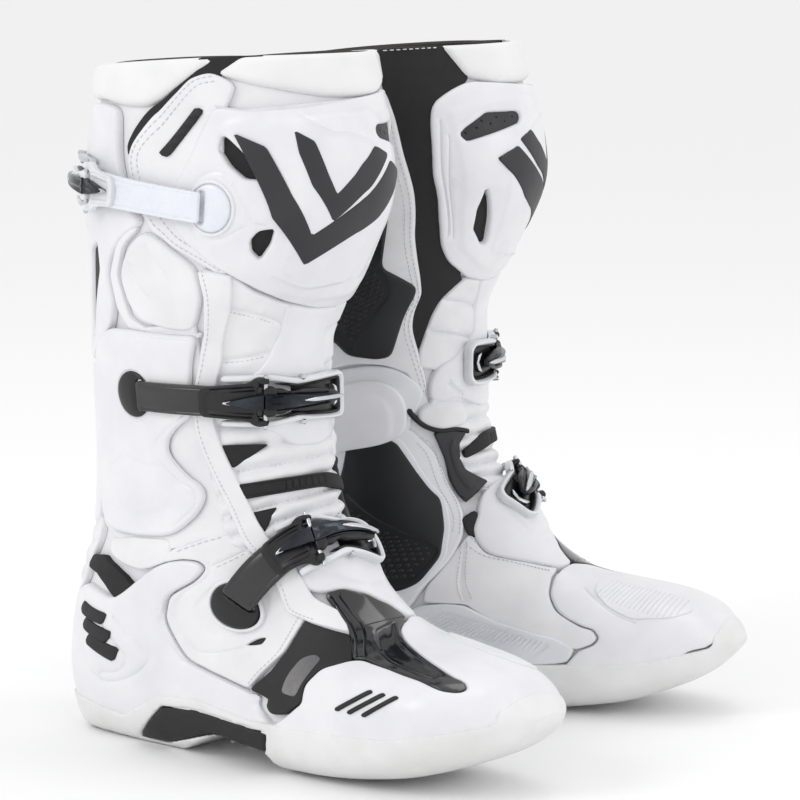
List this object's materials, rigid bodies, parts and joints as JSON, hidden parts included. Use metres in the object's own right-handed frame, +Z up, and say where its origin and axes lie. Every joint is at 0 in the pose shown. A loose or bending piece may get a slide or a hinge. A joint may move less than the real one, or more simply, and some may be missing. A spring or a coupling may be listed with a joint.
{
  "type": "riding boots",
  "caption": "Pair of tall motocross riding boots with hinged ankles, buckled straps, moulded guards and inner booties.",
  "frame": {"origin": "on the ground under the middle of the pair's bounding box", "axes": "+X towards the toes, +Y to the wearer's left, +Z up"},
  "size_m": [0.328, 0.3394, 0.3919],
  "materials": {
    "white_plate": "satin moulded white urethane, fine grain, faint scuffs at the edges",
    "white_leather": "matt white microfibre leather with fine grain and white stitching",
    "collar_leather": "soft matt white collar leather with a double row of stitches",
    "sole_rubber": "off-white sole rubber, matt",
    "black_rubber": "matt black rubber",
    "grip_rubber": "matt black textured grip rubber",
    "black_plastic": "semi-gloss black moulded plastic",
    "liner_fabric": "dark open-weave liner fabric",
    "white_strap": "white moulded strap, slightly translucent",
    "dark_strap": "dark grey moulded strap",
    "lever_metal": "satin aluminium alloy",
    "receiver_plastic": "white glass-filled nylon"
  },
  "bodies": {
    "right_foot": {"right_outsole": "sole_rubber", "right_arch_insert": "black_rubber", "right_foot_upper": "white_leather", "right_foot_shell": "white_plate", "right_toe_plate": "white_plate", "right_vamp_panel": "black_plastic", "right_instep_guard": "white_plate", "right_grip_lower": "grip_rubber", "right_shift_pad": "white_plate", "right_inner_bootie": "liner_fabric", "right_ankle_bellows": "white_leather", "right_instep_disc": "white_plate", "right_instep_receiver": "receiver_plastic"},
    "right_shaft": {"right_shaft_upper": "white_leather", "right_shin_plate": "white_plate", "right_calf_plate": "white_plate", "right_ankle_guard": "white_plate", "right_medial_guard": "white_plate", "right_grip_upper": "grip_rubber", "right_gaiter": "collar_leather", "right_calf_disc": "white_plate", "right_calf_receiver": "receiver_plastic", "right_ankle_disc": "white_plate", "right_ankle_receiver": "receiver_plastic"},
    "right_instep_strap": {"right_instep_strap": "dark_strap"},
    "right_instep_lever": {"right_instep_lever": "lever_metal"},
    "right_ankle_strap": {"right_ankle_strap": "dark_strap"},
    "right_ankle_lever": {"right_ankle_lever": "lever_metal"},
    "right_calf_strap": {"right_calf_strap": "white_strap"},
    "right_calf_lever": {"right_calf_lever": "lever_metal"},
    "left_foot": {"left_outsole": "sole_rubber", "left_arch_insert": "black_rubber", "left_foot_upper": "white_leather", "left_foot_shell": "white_plate", "left_toe_plate": "white_plate", "left_vamp_panel": "black_plastic", "left_instep_guard": "white_plate", "left_grip_lower": "grip_rubber", "left_shift_pad": "white_plate", "left_inner_bootie": "liner_fabric", "left_ankle_bellows": "white_leather", "left_instep_disc": "white_plate", "left_instep_receiver": "receiver_plastic"},
    "left_shaft": {"left_shaft_upper": "white_leather", "left_shin_plate": "white_plate", "left_calf_plate": "white_plate", "left_ankle_guard": "white_plate", "left_medial_guard": "white_plate", "left_grip_upper": "grip_rubber", "left_gaiter": "collar_leather", "left_calf_disc": "white_plate", "left_calf_receiver": "receiver_plastic", "left_ankle_disc": "white_plate", "left_ankle_receiver": "receiver_plastic"},
    "left_instep_strap": {"left_instep_strap": "dark_strap"},
    "left_instep_lever": {"left_instep_lever": "lever_metal"},
    "left_ankle_strap": {"left_ankle_strap": "dark_strap"},
    "left_ankle_lever": {"left_ankle_lever": "lever_metal"},
    "left_calf_strap": {"left_calf_strap": "white_strap"},
    "left_calf_lever": {"left_calf_lever": "lever_metal"}
  },
  "joints": [
    {"name": "right_ankle_flex", "type": "hinge", "parent": "right_foot", "child": "right_shaft", "pos_m": [-0.06303, -0.08217, 0.125], "axis": [0.165, 0.9863, 0], "range_deg": [-4, 15], "stiffness_Nm_per_rad": 60, "deforming": ["right_ankle_bellows", "right_inner_bootie"]},
    {"name": "right_instep_strap_swing", "type": "hinge", "parent": "right_foot", "child": "right_instep_strap", "pos_m": [-0.02112, -0.14156, 0.09322], "axis": [0.8423, -0.0091, -0.5389], "range_deg": [0, 90]},
    {"name": "right_instep_lever_flip", "type": "hinge", "parent": "right_instep_strap", "child": "right_instep_lever", "pos_m": [0.0159, -0.1207, 0.12958], "axis": [0.5408, -0.2962, -0.7873], "range_deg": [0, 110]},
    {"name": "right_ankle_strap_swing", "type": "hinge", "parent": "right_shaft", "child": "right_ankle_strap", "pos_m": [-0.08501, -0.13942, 0.201], "axis": [0.017, 0.0523, -0.9985], "range_deg": [0, 90]},
    {"name": "right_ankle_lever_flip", "type": "hinge", "parent": "right_ankle_strap", "child": "right_ankle_lever", "pos_m": [-0.00632, -0.12881, 0.201], "axis": [0.0074, -0.0133, -0.9999], "range_deg": [0, 110]},
    {"name": "right_calf_strap_swing", "type": "hinge", "parent": "right_shaft", "child": "right_calf_strap", "pos_m": [-0.03296, -0.15246, 0.30712], "axis": [0.0909, -0.1161, 0.9891], "range_deg": [0, 90]},
    {"name": "right_calf_lever_flip", "type": "hinge", "parent": "right_calf_strap", "child": "right_calf_lever", "pos_m": [-0.11963, -0.13692, 0.31522], "axis": [0.0603, -0.0406, 0.9974], "range_deg": [0, 110]},
    {"name": "left_ankle_flex", "type": "hinge", "parent": "left_foot", "child": "left_shaft", "pos_m": [-0.06303, 0.08217, 0.125], "axis": [-0.165, 0.9863, 0], "range_deg": [-4, 15], "stiffness_Nm_per_rad": 60, "deforming": ["left_ankle_bellows", "left_inner_bootie"]},
    {"name": "left_instep_strap_swing", "type": "hinge", "parent": "left_foot", "child": "left_instep_strap", "pos_m": [-0.02112, 0.14156, 0.09322], "axis": [-0.8423, -0.0091, 0.5389], "range_deg": [0, 90]},
    {"name": "left_instep_lever_flip", "type": "hinge", "parent": "left_instep_strap", "child": "left_instep_lever", "pos_m": [0.0159, 0.1207, 0.12958], "axis": [-0.5408, -0.2962, 0.7873], "range_deg": [0, 110]},
    {"name": "left_ankle_strap_swing", "type": "hinge", "parent": "left_shaft", "child": "left_ankle_strap", "pos_m": [-0.08501, 0.13942, 0.201], "axis": [-0.017, 0.0523, 0.9985], "range_deg": [0, 90]},
    {"name": "left_ankle_lever_flip", "type": "hinge", "parent": "left_ankle_strap", "child": "left_ankle_lever", "pos_m": [-0.00632, 0.12881, 0.201], "axis": [-0.0074, -0.0133, 0.9999], "range_deg": [0, 110]},
    {"name": "left_calf_strap_swing", "type": "hinge", "parent": "left_shaft", "child": "left_calf_strap", "pos_m": [-0.03296, 0.15246, 0.30712], "axis": [-0.0909, -0.1161, -0.9891], "range_deg": [0, 90]},
    {"name": "left_calf_lever_flip", "type": "hinge", "parent": "left_calf_strap", "child": "left_calf_lever", "pos_m": [-0.11963, 0.13692, 0.31522], "axis": [-0.0603, -0.0406, -0.9974], "range_deg": [0, 110]},
    {"name": "left_boot_place", "type": "slide", "parent": "right_foot", "child": "left_foot", "axis": [0, 1, 0], "range_m": [0, 0.2]}
  ]
}
